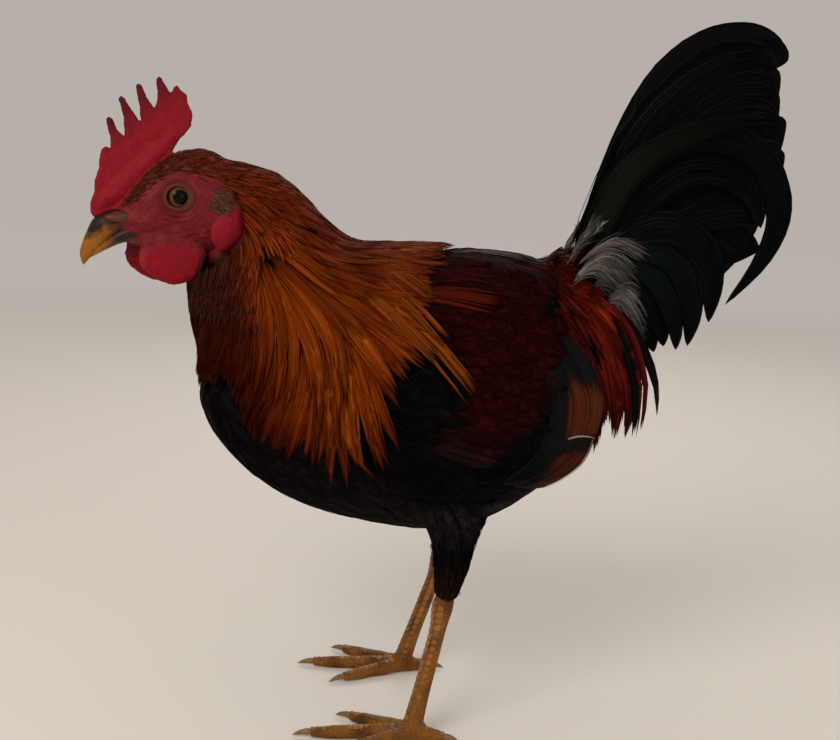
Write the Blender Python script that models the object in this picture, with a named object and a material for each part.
"""A life-size standing rooster of a light Spanish game breed, facing -X, feet on Z = 0.

Lengths are written in millimetres and scaled by MM, so the model is in metres.
Each named part of the bird is one closed solid, parted from its neighbours by GAP.
"""

import math
import random

import bmesh
import bpy
import numpy as np
from mathutils import Matrix, Vector
from mathutils.bvhtree import BVHTree

MM = 0.001
GAP = 0.3  # thin cut between parts that touch
DRAPE = 1.3  # height over the body at which locks lie
FLAT_ANGLE = 0.1  # degrees within which faces left by a cut become one

# Driving sizes, in millimetres
HEAD_PIVOT = (-88.0, -3.0, 246.0)  # top joint of the neck, about which the head turns
HEAD_TURN = 18.0  # degrees to the bird's left
EYE_CENTRE = (-116.0, 9.2, 249.0)  # in the head's own frame, right eye; the left one is mirrored
EYE_RADIUS = 6.4
COMB_THICKNESS = 3.0
TOE_RADIUS = 3.4

LEFT, RIGHT = -1.0, 1.0  # side of the body, along Y
SIDE_NAMES = {LEFT: "left", RIGHT: "right"}

# Rows of a body loft: x, z of the top line, z of the bottom line, half width, squareness
TORSO_ROWS = [
    (-104.0, 166.0, 160.0, 0.0, 2.0),
    (-103.0, 169.0, 151.0, 13.0, 2.0),
    (-100.0, 173.0, 144.0, 22.5, 2.0),
    (-94.0, 177.0, 135.0, 31.5, 2.0),
    (-84.0, 181.0, 124.5, 38.5, 2.1),
    (-69.0, 187.0, 113.0, 44.0, 2.2),
    (-48.0, 199.0, 103.0, 48.0, 2.2),
    (-24.0, 217.0, 97.5, 49.5, 2.2),
    (4.0, 227.0, 94.0, 49.5, 2.2),
    (29.0, 226.5, 98.0, 46.5, 2.2),
    (51.0, 222.5, 110.0, 41.0, 2.1),
    (69.0, 216.0, 127.0, 33.5, 2.0),
    (80.5, 209.0, 148.0, 25.0, 2.0),
    (87.0, 201.0, 166.0, 15.0, 2.0),
    (89.0, 186.0, 180.0, 0.0, 2.0),
]
# How far the hackle's cape stands above the top line of the torso, by x
CAPE_X = (-104.0, -100.0, -84.0, -69.0, -48.0, -24.0, 4.0, 20.0)
CAPE_RISE = (0.0, 17.0, 30.0, 34.0, 28.0, 11.5, 1.5, 0.0)


def clear_scene():
    for obj in list(bpy.data.objects):
        bpy.data.objects.remove(obj)


def make_collection(name):
    collection = bpy.data.collections.new(name)
    bpy.context.scene.collection.children.link(collection)
    return collection


def make_material(name, colour, roughness, metallic=0.0):
    material = bpy.data.materials.new(name)
    material.use_nodes = True
    shader = material.node_tree.nodes["Principled BSDF"]
    shader.inputs["Base Color"].default_value = (*colour, 1.0)
    shader.inputs["Roughness"].default_value = roughness
    shader.inputs["Metallic"].default_value = metallic
    material.diffuse_color = (*colour, 1.0)
    return material


def smooth_rows(rows, count):
    """Catmull-Rom curve through rows of numbers, count rows long."""
    rows = np.array(rows, float)
    last = len(rows) - 1
    dense = []
    for value in np.linspace(0.0, last, count):
        i = min(int(value), last - 1)
        t = value - i
        before, start, end, after = (rows[min(max(k, 0), last)] for k in (i - 1, i, i + 1, i + 2))
        dense.append(
            0.5
            * (
                2 * start
                + (end - before) * t
                + (2 * before - 5 * start + 4 * end - after) * t * t
                + (3 * start - before - 3 * end + after) * t * t * t
            )
        )
    return np.array(dense)


def unit(vector):
    length = np.linalg.norm(vector)
    return vector / length if length > 1e-12 else vector


def mesh_object(name, points, faces, material, collection):
    """Object from points in millimetres; its faces are turned to point out."""
    mesh = bpy.data.meshes.new(name)
    mesh.from_pydata([tuple(p) for p in np.asarray(points, float) * MM], [], faces)
    shaped = bmesh.new()
    shaped.from_mesh(mesh)
    bmesh.ops.recalc_face_normals(shaped, faces=shaped.faces)
    shaped.to_mesh(mesh)
    shaped.free()
    obj = bpy.data.objects.new(name, mesh)
    obj.data.materials.append(material)
    collection.objects.link(obj)
    return obj


def inflate(obj, grow):
    """Moves the surface of a closed object outwards by an even distance."""
    if grow:
        shaped = bmesh.new()
        shaped.from_mesh(obj.data)
        shaped.normal_update()
        moves = [v.normal * v.calc_shell_factor() * grow * MM for v in shaped.verts]
        for vertex, move in zip(shaped.verts, moves):
            vertex.co += move
        shaped.to_mesh(obj.data)
        shaped.free()
    return obj


def loft(name, rows, sides, material, collection, across=(0.0, 1.0, 0.0), grow=0.0, upright=False):
    """Closed tube through rows of (x, y, z, half across, half other way, squareness).

    A first or last row of no width closes in a point; any other end is a flat cap.
    Rings stand square to the centre line, or to X if they are upright.
    """
    rows = np.array(rows, float)
    centres = rows[:, :3]
    tangents = np.gradient(centres, axis=0)
    points, rings = [], []
    for i, row in enumerate(rows):
        tangent = np.array([1.0, 0.0, 0.0]) if upright else unit(tangents[i])
        side = unit(np.array(across) - np.dot(across, tangent) * tangent)
        other = np.cross(tangent, side)
        if i in (0, len(rows) - 1) and row[3] < 0.05:
            rings.append([len(points)])
            points.append(row[:3])
            continue
        ring = []
        for k in range(sides):
            angle = 2 * math.pi * (k + 0.5) / sides
            bend = 2.0 / row[5]
            c, s = math.cos(angle), math.sin(angle)
            u = math.copysign(abs(c) ** bend, c) * row[3]
            v = math.copysign(abs(s) ** bend, s) * row[4]
            ring.append(len(points))
            points.append(row[:3] + side * u + other * v)
        rings.append(ring)
    faces = []
    for a, b in zip(rings, rings[1:]):
        for k in range(sides):
            n = (k + 1) % sides
            if len(a) == 1:
                faces.append((a[0], b[n], b[k]))
            elif len(b) == 1:
                faces.append((a[k], a[n], b[0]))
            else:
                faces.append((a[k], a[n], b[n]))
                faces.append((a[k], b[n], b[k]))
    for ring in (rings[0], rings[-1]):
        if len(ring) > 1:
            faces.append(tuple(ring))
    return inflate(mesh_object(name, points, faces, material, collection), grow)


def apply_modifiers(obj):
    """Bakes the evaluated mesh of an object into it."""
    bpy.context.view_layer.update()
    graph = bpy.context.evaluated_depsgraph_get()
    mesh = bpy.data.meshes.new_from_object(obj.evaluated_get(graph))
    obj.modifiers.clear()
    obj.data = mesh
    return obj


def keep_largest(obj):
    """Keeps only the closed surface that holds most, so no loose scrap is left."""
    shaped = bmesh.new()
    shaped.from_mesh(obj.data)
    bmesh.ops.remove_doubles(shaped, verts=shaped.verts, dist=1e-7)
    unseen = set(shaped.faces)
    pieces = []
    while unseen:
        start = unseen.pop()
        piece, border = [start], [start]
        while border:
            face = border.pop()
            for edge in face.edges:
                for other in edge.link_faces:
                    if other in unseen:
                        unseen.discard(other)
                        piece.append(other)
                        border.append(other)
        pieces.append(piece)

    def volume(piece):
        total = 0.0
        for face in piece:
            corners = [v.co for v in face.verts]
            for a, b in zip(corners[1:], corners[2:]):
                total += corners[0].dot(a.cross(b)) / 6.0
        return total

    pieces.sort(key=volume, reverse=True)
    for piece in pieces[1:]:
        bmesh.ops.delete(shaped, geom=piece, context="FACES")
    loose = [v for v in shaped.verts if not v.link_faces]
    bmesh.ops.delete(shaped, geom=loose, context="VERTS")
    simpler = shaped.copy()
    bmesh.ops.dissolve_limit(
        simpler, angle_limit=math.radians(FLAT_ANGLE), verts=simpler.verts, edges=simpler.edges
    )
    bmesh.ops.triangulate(simpler, faces=simpler.faces)
    bmesh.ops.triangulate(shaped, faces=shaped.faces)
    closed = all(len(edge.link_faces) == 2 for edge in simpler.edges)
    kept = simpler if closed else shaped
    kept.to_mesh(obj.data)
    simpler.free()
    shaped.free()
    return obj


def join(obj, pieces, solver="MANIFOLD"):
    """One union of an object with a list of closed pieces, which are then removed."""
    if not pieces:
        return obj
    group = bpy.data.collections.new(obj.name + "_pieces")
    bpy.context.scene.collection.children.link(group)
    for piece in pieces:
        for owner in list(piece.users_collection):
            owner.objects.unlink(piece)
        group.objects.link(piece)
    union = obj.modifiers.new("union", "BOOLEAN")
    union.operation = "UNION"
    union.operand_type = "COLLECTION"
    union.collection = group
    union.solver = solver
    apply_modifiers(obj)
    for piece in pieces:
        bpy.data.objects.remove(piece)
    bpy.data.collections.remove(group)
    return keep_largest(obj)


def cut(obj, cutters, solver="MANIFOLD"):
    """Cuts an object by each cutter, then removes the cutters."""
    for i, cutter in enumerate(cutters):
        away = obj.modifiers.new(f"cut_{i}", "BOOLEAN")
        away.operation = "DIFFERENCE"
        away.object = cutter
        away.solver = solver
    apply_modifiers(obj)
    for cutter in cutters:
        bpy.data.objects.remove(cutter)
    return keep_largest(obj)


def body_rows(rows, count):
    """Loft rows from side-view rows of (x, top z, bottom z, half width, squareness)."""
    dense = smooth_rows(rows, count)
    made = []
    for x, top, bottom, width, squareness in dense:
        made.append((x, 0.0, (top + bottom) / 2, max(width, 0.0), (top - bottom) / 2, squareness))
    made[0] = (*made[0][:3], 0.0, 0.0, 2.0)
    made[-1] = (*made[-1][:3], 0.0, 0.0, 2.0)
    return made


def torso_mesh(name, material, collection, grow=0.0):
    return loft(name, body_rows(TORSO_ROWS, 18), 16, material, collection, grow=grow, upright=True)


def caped_torso(name, material, collection):
    """The torso with its shoulders as high as the hackle that lies on them."""
    rows = [
        (x, top + np.interp(x, CAPE_X, CAPE_RISE), bottom, width, squareness)
        for x, top, bottom, width, squareness in TORSO_ROWS
    ]
    dense = body_rows(rows, 21)
    return loft(name, dense, 18, material, collection, grow=DRAPE, upright=True)


def head_to_world(point):
    """Point of the head's own frame, in world millimetres."""
    pivot = Vector(HEAD_PIVOT)
    turned = Matrix.Rotation(math.radians(HEAD_TURN), 3, "Z") @ (
        Vector(point) - Vector((pivot.x, 0.0, pivot.z))
    )
    return np.array(turned + pivot)


def turn_head_part(obj):
    """Moves a part modelled in the head's own frame to its place."""
    for vertex in obj.data.vertices:
        vertex.co = Vector(head_to_world(tuple(vertex.co / MM)) * MM)
    return obj


HEAD_ROWS = [
    (-144.0, 241.0, 231.0, 3.0, 2.0),
    (-140.0, 245.0, 228.5, 6.2, 2.0),
    (-134.0, 251.0, 227.0, 9.0, 2.1),
    (-127.0, 259.0, 226.0, 11.4, 2.1),
    (-116.0, 267.5, 224.5, 13.4, 2.2),
    (-105.0, 270.5, 223.0, 14.6, 2.2),
    (-97.0, 268.5, 222.5, 15.0, 2.1),
    (-92.0, 265.0, 223.5, 14.8, 2.0),
]


def head_mesh(name, material, collection, grow=0.0):
    dense = smooth_rows(HEAD_ROWS, 11)
    rows = [(x, 0.0, (t + b) / 2, w, (t - b) / 2, p) for x, t, b, w, p in dense]
    return turn_head_part(loft(name, rows, 14, material, collection, grow=grow, upright=True))


def ball(name, centre, radii, material, collection, segments=16, rings=10):
    """Sphere primitive stretched to three radii, in millimetres."""
    mesh = bpy.data.meshes.new(name)
    shaped = bmesh.new()
    bmesh.ops.create_uvsphere(shaped, u_segments=segments, v_segments=rings, radius=1.0)
    for vertex in shaped.verts:
        vertex.co = Vector([c * MM + v * r * MM for c, v, r in zip(centre, vertex.co, radii)])
    shaped.to_mesh(mesh)
    shaped.free()
    obj = bpy.data.objects.new(name, mesh)
    obj.data.materials.append(material)
    collection.objects.link(obj)
    return obj


# Outline of the single comb in side view, from the foot of its front edge round to its back
COMB_OUTLINE = [
    (-151.5, 239.5),
    (-153.5, 245.0),
    (-150.5, 252.0),
    (-149.5, 260.0),
    (-148.0, 267.5),
    (-146.3, 270.8),
    (-144.2, 267.0),
    (-145.3, 275.0),
    (-145.8, 283.5),
    (-141.5, 278.0),
    (-137.2, 273.5),
    (-138.3, 283.0),
    (-139.8, 292.5),
    (-134.5, 286.5),
    (-130.3, 281.5),
    (-131.5, 290.0),
    (-132.6, 298.5),
    (-128.0, 290.5),
    (-124.6, 286.0),
    (-124.0, 294.0),
    (-123.3, 302.5),
    (-120.0, 297.0),
    (-117.6, 293.0),
    (-115.0, 298.5),
    (-112.5, 295.0),
    (-110.2, 293.0),
    (-108.2, 287.0),
    (-108.8, 280.5),
    (-113.0, 275.5),
    (-117.5, 271.5),
    (-117.0, 262.0),
    (-126.0, 254.0),
    (-138.0, 246.0),
]


def flat_outline(name, outline, thickness, bevel, material, collection):
    """Plate in the XZ plane from an outline, as a filled 2D curve made a mesh."""
    curve = bpy.data.curves.new(name, "CURVE")
    curve.dimensions = "2D"
    curve.fill_mode = "BOTH"
    curve.extrude = (thickness / 2 - bevel) * MM
    curve.bevel_depth = bevel * MM
    curve.bevel_resolution = 0
    curve.offset = -bevel * MM
    spline = curve.splines.new("POLY")
    spline.points.add(len(outline) - 1)
    for point, (x, z) in zip(spline.points, outline):
        point.co = (x * MM, z * MM, 0.0, 1.0)
    spline.use_cyclic_u = True
    made = bpy.data.objects.new(name, curve)
    made.matrix_world = Matrix.Rotation(math.radians(90.0), 4, "X")
    collection.objects.link(made)
    bpy.context.view_layer.update()
    graph = bpy.context.evaluated_depsgraph_get()
    mesh = bpy.data.meshes.new_from_object(made.evaluated_get(graph))
    mesh.transform(made.matrix_world)
    bpy.data.objects.remove(made)
    shaped = bmesh.new()
    shaped.from_mesh(mesh)
    bmesh.ops.remove_doubles(shaped, verts=shaped.verts, dist=0.005 * MM)
    bmesh.ops.recalc_face_normals(shaped, faces=shaped.faces)
    shaped.to_mesh(mesh)
    shaped.free()
    obj = bpy.data.objects.new(name, mesh)
    obj.data.materials.clear()
    obj.data.materials.append(material)
    collection.objects.link(obj)
    return obj


def box_between(name, low, high, material, collection):
    """Box from its lowest to its highest corner, in millimetres."""
    mesh = bpy.data.meshes.new(name)
    shaped = bmesh.new()
    bmesh.ops.create_cube(shaped, size=1.0)
    for vertex in shaped.verts:
        vertex.co = Vector([(a + (c + 0.5) * (b - a)) * MM for a, b, c in zip(low, high, vertex.co)])
    shaped.to_mesh(mesh)
    shaped.free()
    obj = bpy.data.objects.new(name, mesh)
    obj.data.materials.append(material)
    collection.objects.link(obj)
    return obj


def intersect(obj, cutter):
    keep = obj.modifiers.new("keep", "BOOLEAN")
    keep.operation = "INTERSECT"
    keep.object = cutter
    keep.solver = "MANIFOLD"
    apply_modifiers(obj)
    bpy.data.objects.remove(cutter)
    return keep_largest(obj)


# Neck: x, y, z of the centre line, half width and half depth out to the hackle, core's share
NECK_ROWS = [
    (-98.0, -4.5, 247.0, 14.5, 22.0, 0.84),
    (-91.0, -3.0, 244.0, 19.5, 26.5, 0.72),
    (-84.5, -1.5, 237.0, 24.5, 30.0, 0.66),
    (-78.0, 0.0, 223.0, 33.0, 36.5, 0.64),
    (-70.0, 0.0, 207.0, 40.5, 42.5, 0.74),
    (-61.0, 0.0, 191.0, 44.5, 41.0, 0.86),
    (-52.0, 0.0, 176.0, 42.0, 34.0, 0.94),
    (-46.0, 0.0, 166.0, 34.0, 26.0, 0.96),
]

# Wing: x, centre z, half height and half width of the bird there, lower and upper edge of the wing
WING_ROWS = [
    (-40.0, 162.0, 64.0, 50.5, 165.0, 170.0),
    (-34.0, 161.0, 66.0, 51.5, 149.0, 191.0),
    (-24.0, 160.0, 67.5, 53.0, 139.0, 206.0),
    (-8.0, 160.0, 68.0, 54.0, 129.0, 214.0),
    (10.0, 160.0, 68.0, 54.5, 124.0, 216.0),
    (30.0, 161.0, 66.0, 52.5, 125.5, 213.5),
    (48.0, 163.5, 61.5, 49.0, 130.5, 207.0),
    (62.0, 166.0, 57.5, 45.0, 138.0, 199.5),
    (73.0, 168.5, 54.0, 41.5, 147.5, 189.0),
    (79.0, 170.0, 52.0, 39.0, 162.0, 172.0),
]


def neck_rows(core, count):
    rows = []
    for x, y, z, width, depth, share in smooth_rows(NECK_ROWS, count):
        part = share if core else 1.0
        rows.append((x, y, z, width * part, depth * part, 2.0))
    return rows


def neck_envelope(name, material, collection, grow=0.0):
    """The neck out to the tips of its hackle, without the loose locks."""
    return loft(name, neck_rows(False, 14), 20, material, collection, grow=grow)


def neck_core(name, material, collection, grow=0.0):
    return loft(name, neck_rows(True, 12), 16, material, collection, grow=grow)


def wing_surface(x, z):
    """Distance from the middle plane to the folded wing's outer face at x, z."""
    rows = np.array(WING_ROWS)
    centre, half_height, half_width = (np.interp(x, rows[:, 0], rows[:, k]) for k in (1, 2, 3))
    share = min(abs((z - centre) / half_height), 0.999)
    return half_width * (1.0 - share**2.2) ** (1.0 / 2.2)


def wing_pad(name, side, material, collection, grow=0.0):
    """Arm and hand of the folded wing: a pad with a full middle and thin edges."""
    dense = smooth_rows(WING_ROWS, 10)
    steps = 6
    rings, points = [], []
    for i, (x, _, _, _, low, high) in enumerate(dense):
        end = 1.0 - abs(2.0 * i / (len(dense) - 1) - 1.0) ** 4
        depth = np.interp(x, (-40.0, 30.0, 48.0, 60.0, 79.0), (12.0, 14.0, 11.0, 5.5, 2.6))
        outer, inner = [], []
        for k in range(steps):
            share = k / (steps - 1)
            z = low + (high - low) * share
            crown = (4.0 * share * (1.0 - share)) ** 0.5 * end**0.5
            y = wing_surface(x, z) - 2.4 * (1.0 - crown)
            outer.append(len(points))
            points.append((x, side * y, z))
            inner.append(len(points))
            points.append((x, side * (y - 0.8 - (depth - 0.8) * crown), z))
        rings.append(outer + inner[::-1])
    faces = []
    count = len(rings[0])
    for a, b in zip(rings, rings[1:]):
        for k in range(count):
            n = (k + 1) % count
            faces.append((a[k], a[n], b[n]))
            faces.append((a[k], b[n], b[k]))
    faces.append(tuple(rings[0]))
    faces.append(tuple(rings[-1]))
    return inflate(mesh_object(name, points, faces, material, collection), grow)


def vane(name, path, normals, half_widths, thickness, material, collection, camber=0.0):
    """Flat feather, lock or plate along a path, split into triangles alike on both faces.

    With a camber its middle stands that much above its edges.
    """
    path = np.array(path, float)
    tangents = np.gradient(path, axis=0)
    shares = (-1.0, 1.0) if camber == 0.0 else (-1.0, 0.0, 1.0)
    across = len(shares)
    points, rings = [], []
    for i, (centre, normal, half) in enumerate(zip(path, normals, half_widths)):
        along = unit(tangents[i])
        side = unit(np.cross(along, normal))
        up = np.cross(side, along)
        thin = thickness * (1.0 if i < len(path) - 1 else 0.5)
        ring = []
        for level in (0.5, -0.5):
            for share in shares:
                ring.append(len(points))
                rise = level * thin - camber * share * share
                points.append(centre + side * half * share + up * rise)
        rings.append(ring)
    faces = []
    for a, b in zip(rings, rings[1:]):
        for j in range(across - 1):
            top, low = j, across + j
            faces.append((a[top], a[top + 1], b[top + 1]))
            faces.append((a[top], b[top + 1], b[top]))
            faces.append((a[low + 1], a[low], b[low + 1]))
            faces.append((b[low + 1], a[low], b[low]))
        for top, low in ((0, across), (across - 1, 2 * across - 1)):
            faces.append((a[top], b[top], b[low]))
            faces.append((a[top], b[low], a[low]))
    for ring in (rings[0], rings[-1]):
        for j in range(across - 1):
            faces.append((ring[j], ring[j + 1], ring[across + j + 1]))
            faces.append((ring[j], ring[across + j + 1], ring[across + j]))
    return mesh_object(name, points, faces, material, collection)


def surface_tree(obj):
    """Search tree of an object's surface, in millimetres; the object is removed."""
    points = [v.co / MM for v in obj.data.vertices]
    faces = [tuple(p.vertices) for p in obj.data.polygons]
    bpy.data.objects.remove(obj)
    return BVHTree.FromPolygons(points, faces)


def trace(tree, start, heading_at, length, count):
    """Path over a surface from the point nearest to start, with evened normals."""
    step = length / (count - 1)
    here, normal, _, _ = tree.find_nearest(Vector(start))
    points, normals = [], []
    for _ in range(count):
        points.append(np.array(here))
        normals.append(np.array(normal))
        heading = Vector(heading_at(here))
        tangent = (heading - heading.dot(normal) * normal).normalized()
        here, normal, _, _ = tree.find_nearest(here + tangent * step)
    for _ in range(2):
        padded = [normals[0], *normals, normals[-1]]
        normals = [unit(a + 2 * b + c) for a, b, c in zip(padded, padded[1:], padded[2:])]
        middle = [(a + 2 * b + c) / 4 for a, b, c in zip(points, points[1:], points[2:])]
        points = [points[0], *middle, points[-1]]
    return points, normals


def lay_lock(name, tree, root, heading_at, length, half_width, look, parts, lean, lift=0.0, steep=1.6):
    """Lock that leaves its root under the coat and comes to lie on the coat's surface at its tip.

    It leans, so that one edge lies over the lock beside it and the other edge under.
    The steeper it is, the nearer to its root it comes out of the coat.
    """
    count = 4 if length < 60.0 else 5
    points, normals = trace(tree, root, heading_at, length, count)
    depth = np.linalg.norm(points[0] - np.array(root)) + 2.0
    path = []
    for i, (point, normal) in enumerate(zip(points, normals)):
        share = i / (count - 1)
        path.append(point + normal * (lift * share - depth * (1.0 - share) ** steep))
    normals = [unit(normal + np.array(lean)) for normal in normals]
    widths = [half_width * w for w in np.interp(np.linspace(0, 1, count), *LOCK_TAPER)]
    return vane(name, path, normals, widths, LOCK_THICKNESS, look, parts)


LOCK_THICKNESS = 0.7
# Share of a lock's length, and its half width there as a share of the widest
LOCK_TAPER = ((0.0, 0.25, 0.55, 0.85, 1.0), (0.55, 0.9, 1.0, 0.6, 0.06))

# Hackle: share of the neck's length at which a row grows, locks in it, least angle from the throat, length
HACKLE_ROWS = [
    (0.03, 5, 74.0, 30.0),
    (0.15, 6, 60.0, 44.0),
    (0.27, 6, 40.0, 58.0),
    (0.4, 8, 14.0, 72.0),
    (0.53, 10, 0.0, 84.0),
    (0.66, 9, 0.0, 82.0),
]
# By angle from the throat: share of a row's length, and the lie of the locks high and low on the neck,
# in degrees back from straight down
HACKLE_ANGLES = (0.0, 30.0, 60.0, 90.0, 110.0, 130.0, 150.0, 180.0)
HACKLE_REACH = (0.42, 0.55, 0.85, 0.95, 1.0, 0.85, 0.65, 0.52)
HACKLE_LIE_HIGH = (-5.0, 2.0, 15.0, 25.0, 36.0, 50.0, 66.0, 88.0)
HACKLE_LIE_LOW = (0.0, -10.0, -18.0, -10.0, 6.0, 42.0, 68.0, 92.0)


def neck_angle(point):
    """Angle of a point round the neck, in degrees from the throat."""
    rows = np.array(NECK_ROWS)[::-1]
    axis_x = np.interp(point[2], rows[:, 2], rows[:, 0])
    return math.degrees(math.atan2(abs(point[1]), axis_x - point[0]))


def hackle_heading(point, sway):
    angle = neck_angle(point)
    low = np.interp(point[2], (160.0, 215.0), (1.0, 0.0))
    lie = low * np.interp(angle, HACKLE_ANGLES, HACKLE_LIE_LOW)
    lie += (1.0 - low) * np.interp(angle, HACKLE_ANGLES, HACKLE_LIE_HIGH)
    turn = math.radians(lie + sway)
    return math.sin(turn), 0.0, -math.cos(turn)


def neck_point(share, angle, core=True):
    """Point on the neck's core or envelope at a share of its length and an angle from the throat."""
    rows = np.array(neck_rows(core, 61))
    row = rows[int(round(share * 60))]
    along = unit(np.gradient(rows[:, :3], axis=0)[int(round(share * 60))])
    back = np.cross(along, (0.0, 1.0, 0.0))
    turn = math.radians(angle)
    return row[:3] - unit(back) * math.cos(turn) * row[4] + np.array([0.0, math.sin(turn) * row[3], 0.0])


def joined_tree(shapes):
    body = shapes[0]
    join(body, shapes[1:])
    return surface_tree(body)


def hackle_locks(draw, look, parts):
    shapes = [neck_envelope("drape_neck", look, parts), caped_torso("drape_torso", look, parts)]
    for side in (LEFT, RIGHT):
        shapes.append(wing_pad("drape_wing", side, look, parts, 4.6))
    tree = joined_tree(shapes)
    body = surface_tree(torso_mesh("inside_torso", look, parts, DRAPE))
    locks = []
    for row, (share, count, least, length) in enumerate(HACKLE_ROWS):
        for k in range(count):
            spread = (k + 0.5 + 0.5 * (row % 2)) / (count + 0.5 * (row % 2) + 0.25)
            angle = least + (360.0 - 2 * least) * spread
            root = neck_point(share, angle)
            near, normal, _, _ = body.find_nearest(Vector(root))
            if (Vector(root) - near).dot(normal) < 0.0:
                continue
            from_throat = min(angle, 360.0 - angle)
            reach = np.interp(from_throat, HACKLE_ANGLES, HACKLE_REACH) if share > 0.3 else 1.0
            size = length * reach * draw.uniform(0.92, 1.08)
            sway = draw.uniform(-4.0, 4.0)
            width = np.interp(share, (0.0, 0.6), (6.0, 10.5))
            locks.append(
                lay_lock(
                    f"lock_{row}_{k}",
                    tree,
                    root,
                    lambda point, sway=sway: hackle_heading(point, sway),
                    size,
                    width,
                    look,
                    parts,
                    (0.13 * math.cos(math.radians(angle / 2)) ** 2 + 0.02, 0.0, 0.05),
                    lift=np.interp(share, (0.3, 0.5), (0.6, 2.6)),
                    steep=np.interp(share, (0.3, 0.5), (1.6, 3.2)),
                )
            )
    return locks


# Rump out to the hang of the saddle hackle: x, top, bottom, half width, squareness
SADDLE_HANG_ROWS = [
    (24.0, 224.5, 100.0, 42.0, 2.2),
    (50.0, 222.0, 110.0, 37.0, 2.4),
    (70.0, 218.0, 120.0, 33.5, 2.7),
    (85.0, 213.0, 128.0, 32.0, 3.0),
    (96.0, 206.0, 134.0, 30.0, 3.0),
    (103.0, 190.0, 142.0, 24.0, 2.6),
    (106.0, 172.0, 166.0, 0.0, 2.0),
]
SADDLE_ROOTS_X = (27.0, 42.0, 57.0)
# Columns of the saddle hackle: distance from the middle, locks in it, furthest x of their tips
SADDLE_COLUMNS = [(6.5, 1, 58.0), (15.0, 2, 65.0), (24.0, 3, 200.0)]
SADDLE_LENGTH = 84.0


def saddle_heading(point, sway):
    """Lie of the saddle hackle: backwards along the back, then down past the end of the wing."""
    lie = np.interp(point[0], (50.0, 64.0, 74.0, 83.0, 90.0), (84.0, 64.0, 36.0, 14.0, 2.0))
    turn = math.radians(lie + sway)
    outward = np.interp(point[0], (58.0, 70.0), (0.1, 0.7)) if point[2] > 195.0 else 0.0
    outward = math.copysign(outward, point[1])
    return math.sin(turn), outward, -math.cos(turn)


def saddle_locks(draw, look, parts):
    hang = loft("drape_rump", body_rows(SADDLE_HANG_ROWS, 14), 22, look, parts)
    torso = torso_mesh("drape_torso", look, parts, DRAPE)
    tree = joined_tree([hang, torso, make_tail_core("drape_tail", look, parts, 4.0)])
    rows = np.array(TORSO_ROWS)
    locks = []
    for column, (y, count, end) in enumerate(SADDLE_COLUMNS):
        for row, x in enumerate(SADDLE_ROOTS_X[:count]):
            top, bottom, width = (np.interp(x, rows[:, 0], rows[:, k]) for k in (1, 2, 3))
            for side in (LEFT, RIGHT):
                across = y + (2.0 if row % 2 else -1.0) - 1.0 * row
                rise = (1.0 - (across / width) ** 2.2) ** (1 / 2.2)
                z = (top + bottom) / 2 + (top - bottom) / 2 * rise
                root = (x + draw.uniform(-2.0, 2.0), side * across, z - 1.5)
                length = min(SADDLE_LENGTH * draw.uniform(0.93, 1.07), end - x)
                sway = draw.uniform(-4.0, 4.0)
                locks.append(
                    lay_lock(
                        f"saddle_{row}_{column}",
                        tree,
                        root,
                        lambda point, sway=sway: saddle_heading(point, sway),
                        length,
                        6.8,
                        look,
                        parts,
                        (0.0, side * 0.12, 0.0),
                        lift=2.4 - 1.0 * row,
                        steep=3.5,
                    )
                )
    return locks


def make_head(skin, parts):
    head = head_mesh("head", skin, parts)
    lids = []
    for side in (LEFT, RIGHT):
        bpy.ops.mesh.primitive_torus_add(
            major_segments=12,
            minor_segments=4,
            major_radius=5.3 * MM,
            minor_radius=1.15 * MM,
            rotation=(math.radians(90.0 + side * 8.0), 0.0, math.radians(side * 8.0)),
            location=(EYE_CENTRE[0] * MM, side * 13.1 * MM, EYE_CENTRE[2] * MM),
        )
        lid = bpy.context.object
        lid.name = f"lid_{SIDE_NAMES[side]}"
        lid.data.transform(lid.matrix_world)
        lid.matrix_world = Matrix()
        lids.append(turn_head_part(lid))
    join(head, lids)
    return head


def make_eye(side, name, material, collection, grow=0.0):
    x, y, z = EYE_CENTRE
    eye = ball(name, (x, side * y, z), (EYE_RADIUS + grow,) * 3, material, collection, 12, 8)
    return turn_head_part(eye)


def comb_rib(name, material, collection, grow=0.0):
    """Thick foot of the comb along the top of the beak and forehead."""
    rows = [
        (-151.0, 0.0, 241.0, 1.6, 2.2, 2.0),
        (-147.0, 0.0, 247.0, 3.0, 4.0, 2.0),
        (-138.0, 0.0, 252.0, 4.0, 5.0, 2.0),
        (-127.0, 0.0, 262.0, 4.0, 5.0, 2.0),
        (-117.0, 0.0, 271.0, 3.2, 4.0, 2.0),
        (-111.0, 0.0, 276.5, 1.8, 2.2, 2.0),
    ]
    return turn_head_part(loft(name, smooth_rows(rows, 7), 8, material, collection, grow=grow))


BEAK_UPPER_ROWS = [
    (-131.0, 0.0, 239.8, 8.4, 5.2, 2.0),
    (-138.5, 0.0, 239.2, 7.8, 5.9, 2.0),
    (-145.5, 0.0, 236.8, 6.4, 6.0, 2.0),
    (-151.0, 0.0, 232.2, 4.8, 5.2, 2.0),
    (-154.8, 0.0, 226.6, 3.1, 3.6, 2.0),
    (-156.8, 0.0, 221.4, 1.5, 1.8, 2.0),
    (-157.3, 0.0, 217.8, 0.0, 0.0, 2.0),
]
BEAK_LOWER_ROWS = [
    (-130.0, 0.0, 231.4, 7.6, 3.2, 2.0),
    (-138.0, 0.0, 230.2, 6.6, 3.0, 2.0),
    (-145.5, 0.0, 227.2, 4.9, 2.6, 2.0),
    (-150.5, 0.0, 224.2, 3.2, 1.9, 2.0),
    (-153.8, 0.0, 221.6, 0.0, 0.0, 2.0),
]


def beak_mesh(rows, name, material, collection, grow=0.0):
    return turn_head_part(loft(name, smooth_rows(rows, 7), 10, material, collection, grow=grow))


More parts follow.
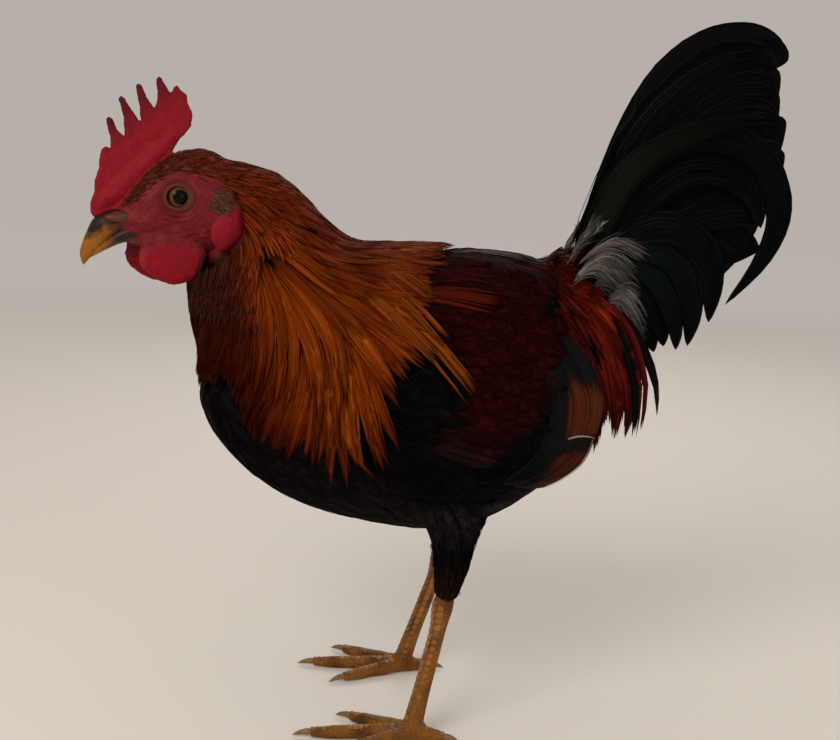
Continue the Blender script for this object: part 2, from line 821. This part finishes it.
def nostril_cutters(material, collection):
    cutters = []
    for side in (LEFT, RIGHT):
        slot = ball("nostril", (-142.5, side * 7.2, 240.6), (2.6, 1.7, 0.8), material, collection, 10, 6)
        cutters.append(turn_head_part(slot))
    return cutters


def make_wattle(side, name, material, collection, grow=0.0):
    """Hanging lappet under the beak; the right one sits a little further forward."""
    shift = 0.0 if side == LEFT else -5.0
    rows = [
        (-119.0 + shift, side * 6.0, 236.0, 7.0, 2.2, 2.0),
        (-119.0 + shift, side * 8.0, 229.5, 13.0, 3.2, 2.2),
        (-118.0 + shift, side * 9.4, 222.0, 15.2, 3.7, 2.2),
        (-117.5 + shift, side * 10.0, 215.5, 12.0, 3.3, 2.1),
        (-117.5 + shift, side * 10.2, 211.0, 6.0, 2.3, 2.0),
        (-117.5 + shift, side * 10.2, 209.2, 0.0, 0.0, 2.0),
    ]
    dense = smooth_rows(rows, 8)
    return turn_head_part(loft(name, dense, 12, material, collection, across=(1.0, 0.0, 0.0), grow=grow))


def make_earlobe(side, name, material, collection, grow=0.0):
    rows = [
        (-91.5, side * 14.0, 254.0, 0.0, 0.0, 2.0),
        (-92.5, side * 14.8, 250.5, 4.5, 2.0, 2.0),
        (-94.5, side * 15.6, 242.0, 8.0, 2.8, 2.1),
        (-95.5, side * 15.8, 234.0, 7.6, 2.9, 2.1),
        (-95.5, side * 15.4, 228.0, 4.6, 2.3, 2.0),
        (-95.5, side * 15.0, 225.0, 0.0, 0.0, 2.0),
    ]
    dense = smooth_rows(rows, 8)
    dense[0][3:5] = 0.0
    dense[-1][3:5] = 0.0
    return turn_head_part(loft(name, dense, 10, material, collection, across=(1.0, 0.0, 0.0), grow=grow))


def thigh_mesh(side, name, material, collection, grow=0.0):
    rows = [
        (18.0, side * 27.0, 126.0, 24.0, 16.0, 2.0),
        (18.5, side * 30.0, 112.0, 18.0, 14.5, 2.0),
        (18.5, side * 32.0, 102.0, 11.5, 11.0, 2.0),
        (18.2, side * 33.5, 93.0, 8.8, 8.4, 2.0),
        (17.4, side * 34.5, 83.0, 7.4, 6.8, 2.0),
        (16.2, side * 35.0, 75.0, 6.2, 5.4, 2.0),
        (15.0, side * 35.2, 68.5, 4.9, 4.4, 2.0),
    ]
    dense = smooth_rows(rows, 9)
    return loft(name, dense, 12, material, collection, across=(1.0, 0.0, 0.0), grow=grow)


# Shank centre lines by side: x, distance from the middle plane, z, half depth, half width
SHANK_ROWS = {
    LEFT: [
        (15.5, 35.0, 71.5, 4.4, 3.9),
        (14.4, 35.0, 65.0, 5.0, 4.3),
        (12.8, 35.4, 55.0, 3.9, 3.5),
        (10.0, 36.2, 42.0, 3.9, 3.3),
        (5.8, 37.2, 23.0, 4.1, 3.5),
        (3.2, 37.8, 11.0, 4.6, 4.3),
        (2.4, 38.0, 6.0, 4.4, 4.2),
    ],
    RIGHT: [
        (15.5, 35.0, 71.5, 4.4, 3.9),
        (14.2, 35.0, 65.0, 5.0, 4.3),
        (11.8, 35.0, 55.0, 3.9, 3.5),
        (7.6, 35.0, 42.0, 3.9, 3.3),
        (1.2, 35.0, 23.0, 4.1, 3.5),
        (-2.6, 35.0, 11.0, 4.6, 4.3),
        (-4.0, 35.0, 6.0, 4.4, 4.2),
    ],
}


def shank_mesh(side, name, material, collection, grow=0.0):
    rows = [(x, side * y, z, depth, width, 2.0) for x, y, z, depth, width in SHANK_ROWS[side]]
    dense = smooth_rows(rows, 7)
    return loft(name, dense, 8, material, collection, across=(1.0, 0.0, 0.0), grow=grow)


# Toes: name, direction in degrees from straight ahead (positive is outwards), length without its claw
TOES = [("inner", -27.0, 34.0), ("middle", 2.0, 48.0), ("outer", 30.0, 38.0), ("hind", 172.0, 15.0)]


def toe_path(side, angle, length):
    """Knuckle centres of a toe from the foot's hub to its tip: x, y, z, half width, half height."""
    foot = SHANK_ROWS[side][-1]
    hub = np.array([foot[0], side * foot[1], 0.0])
    heading = np.array([-math.cos(math.radians(angle)), side * math.sin(math.radians(angle)), 0.0])
    rise = 4.6 if abs(angle) < 90 else 5.4
    rows = []
    for share, z, radius in (
        (0.0, rise, 1.25),
        (0.22, 3.6, 1.12),
        (0.45, 3.3, 1.0),
        (0.7, 2.9, 0.88),
        (0.9, 2.5, 0.76),
        (1.0, 2.6, 0.62),
    ):
        point = hub + heading * length * share
        rows.append((point[0], point[1], z, TOE_RADIUS * radius, TOE_RADIUS * radius * 0.98, 2.2))
    return rows, heading


def make_foot(side, skin, horn, parts):
    name = SIDE_NAMES[side]
    shank_end = SHANK_ROWS[side][-1]
    hub = ball(
        f"foot_{name}",
        (shank_end[0], side * shank_end[1], 5.4),
        (6.6, 5.8, 5.6),
        skin,
        parts,
        10,
        6,
    )
    pieces, claws = [], []
    for toe, angle, length in TOES:
        rows, heading = toe_path(side, angle, length)
        across = (-heading[1], heading[0], 0.0)
        pieces.append(loft(f"toe_{toe}", smooth_rows(rows, 6), 6, skin, parts, across=across))
        if toe != "hind":
            pieces.extend(toe_scutes(rows, heading, skin, parts))
        tip = np.array(rows[-1][:3])
        size = 8.5 if toe != "hind" else 7.0
        claw_rows = []
        for share, drop, radius in ((0.0, 0.0, 1.5), (0.35, -0.1, 1.25), (0.7, -0.75, 0.8), (1.0, -1.9, 0.0)):
            point = tip + heading * (GAP + 0.05 + size * share) + np.array([0.0, 0.0, drop])
            claw_rows.append((*point, radius, radius * 1.05, 2.0))
        claw = loft(f"claw_{toe}_{name}", smooth_rows(claw_rows, 4), 6, horn, parts, across=across)
        claws.append(claw)
    join(hub, pieces)
    ground = box_between("ground", (-120.0, -80.0, -30.0), (80.0, 80.0, 0.0), skin, parts)
    cut(hub, [ground, shank_mesh(side, "socket", skin, parts, GAP)])
    return hub, claws


def make_tail_core(name, material, collection, grow=0.0):
    rows = [
        (60.0, 0.0, 204.0, 9.0, 12.0, 2.0),
        (68.0, 0.0, 211.0, 13.0, 15.0, 2.0),
        (78.0, 0.0, 218.0, 14.5, 15.5, 2.0),
        (88.0, 0.0, 224.0, 12.5, 13.0, 2.0),
        (95.0, 0.0, 228.5, 8.0, 8.5, 2.0),
        (99.0, 0.0, 231.5, 0.0, 0.0, 2.0),
    ]
    return loft(name, smooth_rows(rows, 7), 10, material, collection, grow=grow)


# Wing feathers by tier: name, roots and tips from top to bottom as x, z, half width, lift, thickness
WING_TIERS = [
    (
        "flight",
        [(22, 201), (14, 188), (8, 175), (4, 162), (1, 149), (0, 137)],
        [(71, 191), (79, 177), (80, 163), (76, 150), (66, 139), (49, 130)],
        9.6,
        0.7,
        0.8,
    ),
    (
        "covert",
        [(27, 192), (27, 178), (24, 164), (18, 150), (9, 138)],
        [(61, 183), (64, 169), (61, 155), (53, 142), (39, 131)],
        9.4,
        2.6,
        0.7,
    ),
    (
        "bow",
        [(7, 193), (8, 178), (6, 163), (0, 148)],
        [(37, 185), (39, 170), (36, 155), (28, 141)],
        9.8,
        4.4,
        0.7,
    ),
]
FEATHER_TAPER = ((0.0, 0.25, 0.6, 0.85, 1.0), (0.5, 0.9, 1.0, 0.92, 0.4))
FEATHER_STEPS = (0.0, 0.42, 0.84, 1.0)
TAIL_TAPER = ((0.0, 0.3, 0.65, 0.88, 1.0), (0.4, 0.85, 1.0, 0.95, 0.45))


def wing_normal(x, z, side):
    step = 1.0
    slope_x = (wing_surface(x + step, z) - wing_surface(x - step, z)) / (2 * step)
    slope_z = (wing_surface(x, z + step) - wing_surface(x, z - step)) / (2 * step)
    return unit(np.array([-slope_x, side, -slope_z]))


def wing_feathers(side, look, parts):
    """Tiers of flight feathers and coverts; each feather's lower edge lies over the next one."""
    feathers = []
    for tier, roots, tips, half, lift, thickness in WING_TIERS:
        for k, (root, tip) in enumerate(zip(roots, tips)):
            path, normals = [], []
            for share in FEATHER_STEPS:
                x, z = np.array(root) * (1.0 - share) + np.array(tip) * share
                z += 2.5 * math.sin(math.pi * share)
                normal = wing_normal(x, z, side)
                rise = lift * min(1.0, 2.6 * share) - 2.2 * max(0.0, 1.0 - 4.0 * share)
                path.append(np.array([x, side * wing_surface(x, z), z]) + normal * rise)
                normals.append(unit(normal + np.array([0.0, 0.0, 0.085])))
            widths = [half * w for w in np.interp(FEATHER_STEPS, *FEATHER_TAPER)]
            feathers.append(vane(f"{tier}_{k}", path, normals, widths, thickness, look, parts))
    return feathers


# Tail feathers in side view, root to tip: x, z; then half width, distance from the middle at root and tip
TAIL_FEATHERS = [
    ([(72, 214), (77, 240), (90, 279), (107, 307), (131, 325), (159, 326)], 12.5, 1.6, 3.0),
    ([(74, 215), (84, 243), (101, 276), (122, 300), (143, 310), (158, 308)], 12.0, 3.2, 6.5),
    ([(76, 216), (89, 243), (108, 272), (129, 289), (146, 296), (157, 295)], 11.5, 4.8, 10.0),
    ([(78, 216), (93, 241), (112, 263), (132, 277), (149, 282), (158, 280)], 11.5, 6.4, 13.0),
    ([(80, 216), (96, 237), (115, 253), (134, 262), (149, 264), (156, 261)], 11.0, 8.0, 16.0),
    ([(82, 215), (98, 231), (116, 242), (133, 246), (144, 245), (151, 240)], 10.5, 9.4, 18.5),
    (
        [(80, 216), (95, 241), (113, 262), (134, 271), (151, 266), (159, 249), (156, 228), (144, 211), (130, 202)],
        6.5,
        9.8,
        22.5,
    ),
    ([(79, 217), (95, 231), (111, 229), (124, 215), (131, 199)], 9.5, 10.6, 24.0),
    ([(79, 215), (94, 224), (108, 218), (118, 203), (121, 189)], 8.5, 11.4, 22.0),
    ([(79, 213), (92, 217), (103, 209), (111, 196), (114, 186)], 8.0, 12.0, 19.0),
]


def tail_feathers(look, parts):
    """Main tail feathers, sickles and coverts, alike on both sides."""
    feathers = []
    for k, (line, half, near, far) in enumerate(TAIL_FEATHERS):
        count = 5 if len(line) < 7 else 9
        dense = smooth_rows(line, count)
        for side in (LEFT, RIGHT):
            path, normals = [], []
            for i, (x, z) in enumerate(dense):
                share = i / (count - 1)
                away = near + (far - near) * math.sin(0.5 * math.pi * share)
                path.append((x, side * away, z))
                normals.append(unit(np.array([-0.12, side, 0.22])))
            widths = [half * w for w in np.interp(np.linspace(0, 1, count), *TAIL_TAPER)]
            feathers.append(vane(f"tail_{k}", path, normals, widths, 0.8, look, parts))
    return feathers


def scute(name, centre, normal, along, size, look, parts):
    """Raised scale: a small bent plate with its lower end proud."""
    along = unit(np.array(along))
    path = [np.array(centre) + along * size * (s - 0.5) + np.array(normal) * (0.55 * s - 0.2) for s in (0.0, 1.0)]
    return vane(name, path, [normal] * 2, [size * 0.46, size * 0.4], 1.0, look, parts, size * 0.16)


def shank_scutes(side, look, parts):
    rows = np.array([(x, side * y, z, d) for x, y, z, d, _ in SHANK_ROWS[side]])
    dense = smooth_rows(rows, 61)
    plates = []
    for k in range(7):
        i = 12 + k * 6
        along = unit(dense[i + 1][:3] - dense[i - 1][:3])
        normal = unit(np.cross((0.0, 1.0, 0.0), along))
        normal = normal if normal[0] < 0 else -normal
        centre = dense[i][:3] + normal * dense[i][3]
        plates.append(scute(f"scute_{k}", centre, normal, along, 5.4, look, parts))
    return plates


def toe_scutes(rows, heading, look, parts):
    dense = smooth_rows(rows, 31)
    plates = []
    for k in range(2):
        x, y, z, width, height, _ = dense[11 + 9 * k]
        centre = np.array([x, y, z + height])
        size = width * 1.7
        plates.append(scute(f"toe_scute_{k}", centre, (0.0, 0.0, 1.0), heading, size, look, parts))
    return plates


def make_saddle_block(name, material, collection, grow=0.0):
    """Upper rear of the back, from which the saddle hackle grows."""
    rows = [
        (16.0 - grow, 0.0, 232.0, 40.0, 22.0, 2.0),
        (40.0, 0.0, 230.0, 40.0, 22.0, 2.0),
        (64.0, 0.0, 222.0, 36.0, 22.0, 2.0),
        (80.0 + grow, 0.0, 212.0, 26.0, 18.0, 2.0),
    ]
    return loft(name, rows, 24, material, collection, grow=grow)


def settle(parts):
    """Moves every part so that the box round them all has its bottom centre at the origin."""
    low = Vector((1e9, 1e9, 1e9))
    high = -low
    for obj in parts.objects:
        for vertex in obj.data.vertices:
            for axis in range(3):
                low[axis] = min(low[axis], vertex.co[axis])
                high[axis] = max(high[axis], vertex.co[axis])
    shift = Vector((-(low.x + high.x) / 2, -(low.y + high.y) / 2, -low.z))
    for obj in parts.objects:
        obj.data.transform(Matrix.Translation(shift))


def shade(parts):
    for obj in parts.objects:
        obj.data.shade_smooth()
        obj.data.set_sharp_from_angle(angle=math.radians(40.0))


def main():
    clear_scene()
    draw = random.Random(11)
    parts = make_collection("spanish_rooster")
    black = make_material("black_plumage", (0.012, 0.011, 0.012), 0.55)
    hackle = make_material("hackle_orange", (0.32, 0.09, 0.015), 0.55)
    red = make_material("saddle_red", (0.18, 0.03, 0.012), 0.55)
    maroon = make_material("wing_maroon", (0.06, 0.012, 0.01), 0.55)
    gloss = make_material("tail_gloss", (0.01, 0.03, 0.024), 0.4)
    face = make_material("face_skin", (0.42, 0.03, 0.035), 0.5)
    comb_skin = make_material("comb_skin", (0.5, 0.02, 0.03), 0.45)
    horn = make_material("beak_horn", (0.36, 0.2, 0.07), 0.4)
    leg_skin = make_material("leg_scales", (0.5, 0.24, 0.05), 0.5)
    claw_horn = make_material("claw_horn", (0.3, 0.18, 0.08), 0.4)
    iris = make_material("eye_amber", (0.12, 0.05, 0.015), 0.08)

    head = make_head(face, parts)
    eyes = [make_eye(side, "socket", face, parts, GAP) for side in (LEFT, RIGHT)]
    cut(head, eyes)
    for side in (LEFT, RIGHT):
        make_eye(side, f"eye_{SIDE_NAMES[side]}", iris, parts)

    def head_cutter():
        return head_mesh("head_cutter", face, parts, GAP)

    upper = beak_mesh(BEAK_UPPER_ROWS, "beak_upper", horn, parts)
    cut(upper, [head_cutter(), *nostril_cutters(horn, parts)])
    lower = beak_mesh(BEAK_LOWER_ROWS, "beak_lower", horn, parts)
    cut(lower, [head_cutter(), beak_mesh(BEAK_UPPER_ROWS, "upper_cutter", horn, parts, GAP)])

    comb = flat_outline("comb", COMB_OUTLINE, COMB_THICKNESS, 0.5, comb_skin, parts)
    turn_head_part(comb)
    join(comb, [comb_rib("rib", comb_skin, parts)])
    cut(comb, [head_cutter(), beak_mesh(BEAK_UPPER_ROWS, "upper_cutter", horn, parts, GAP)])

    neck = neck_core("neck", hackle, parts)
    join(neck, hackle_locks(draw, hackle, parts))
    neck_cutters = [head_cutter(), torso_mesh("torso_cutter", black, parts, GAP)]
    for side in (LEFT, RIGHT):
        name = SIDE_NAMES[side]
        wattle = make_wattle(side, f"wattle_{name}", comb_skin, parts)
        cut(wattle, [head_cutter(), beak_mesh(BEAK_LOWER_ROWS, "lower_cutter", horn, parts, GAP)])
        earlobe = make_earlobe(side, f"earlobe_{name}", comb_skin, parts)
        cut(earlobe, [head_cutter()])
        neck_cutters.append(make_wattle(side, "wattle_cutter", comb_skin, parts, GAP))
        neck_cutters.append(make_earlobe(side, "earlobe_cutter", comb_skin, parts, GAP))

    torso = torso_mesh("torso", black, parts)
    saddle = torso_mesh("saddle", red, parts)
    intersect(saddle, make_saddle_block("saddle_keep", red, parts))
    join(saddle, saddle_locks(draw, red, parts))
    rest_of_torso = torso_mesh("rest_of_torso", black, parts, GAP)
    cut(rest_of_torso, [make_saddle_block("saddle_room", red, parts, 0.05)])
    cut(saddle, [rest_of_torso, make_tail_core("tail_cutter", gloss, parts, GAP)])
    cut(torso, [make_saddle_block("saddle_cutter", red, parts, GAP)])

    for side in (LEFT, RIGHT):
        name = SIDE_NAMES[side]
        wing = wing_pad(f"wing_{name}", side, maroon, parts)
        join(wing, wing_feathers(side, maroon, parts))
        cut(wing, [torso_mesh("torso_cutter", black, parts, GAP)])
        neck_cutters.append(wing_pad("wing_cutter", side, maroon, parts, GAP))
    cut(neck, neck_cutters)

    tail = make_tail_core("tail", gloss, parts)
    join(tail, tail_feathers(gloss, parts))
    cut(tail, [torso_mesh("torso_cutter", black, parts, GAP)])

    for side in (LEFT, RIGHT):
        name = SIDE_NAMES[side]
        thigh = thigh_mesh(side, f"thigh_{name}", black, parts)
        wing_cutter = wing_pad("wing_cutter", side, maroon, parts, GAP)
        cut(thigh, [torso_mesh("torso_cutter", black, parts, GAP), wing_cutter])
        shank = shank_mesh(side, f"shank_{name}", leg_skin, parts)
        join(shank, shank_scutes(side, leg_skin, parts))
        cut(shank, [thigh_mesh(side, "thigh_cutter", black, parts, GAP)])
        make_foot(side, leg_skin, claw_horn, parts)

    for obj in parts.objects:
        if any(len(face.vertices) > 3 for face in obj.data.polygons):
            keep_largest(obj)
    settle(parts)
    shade(parts)


main()
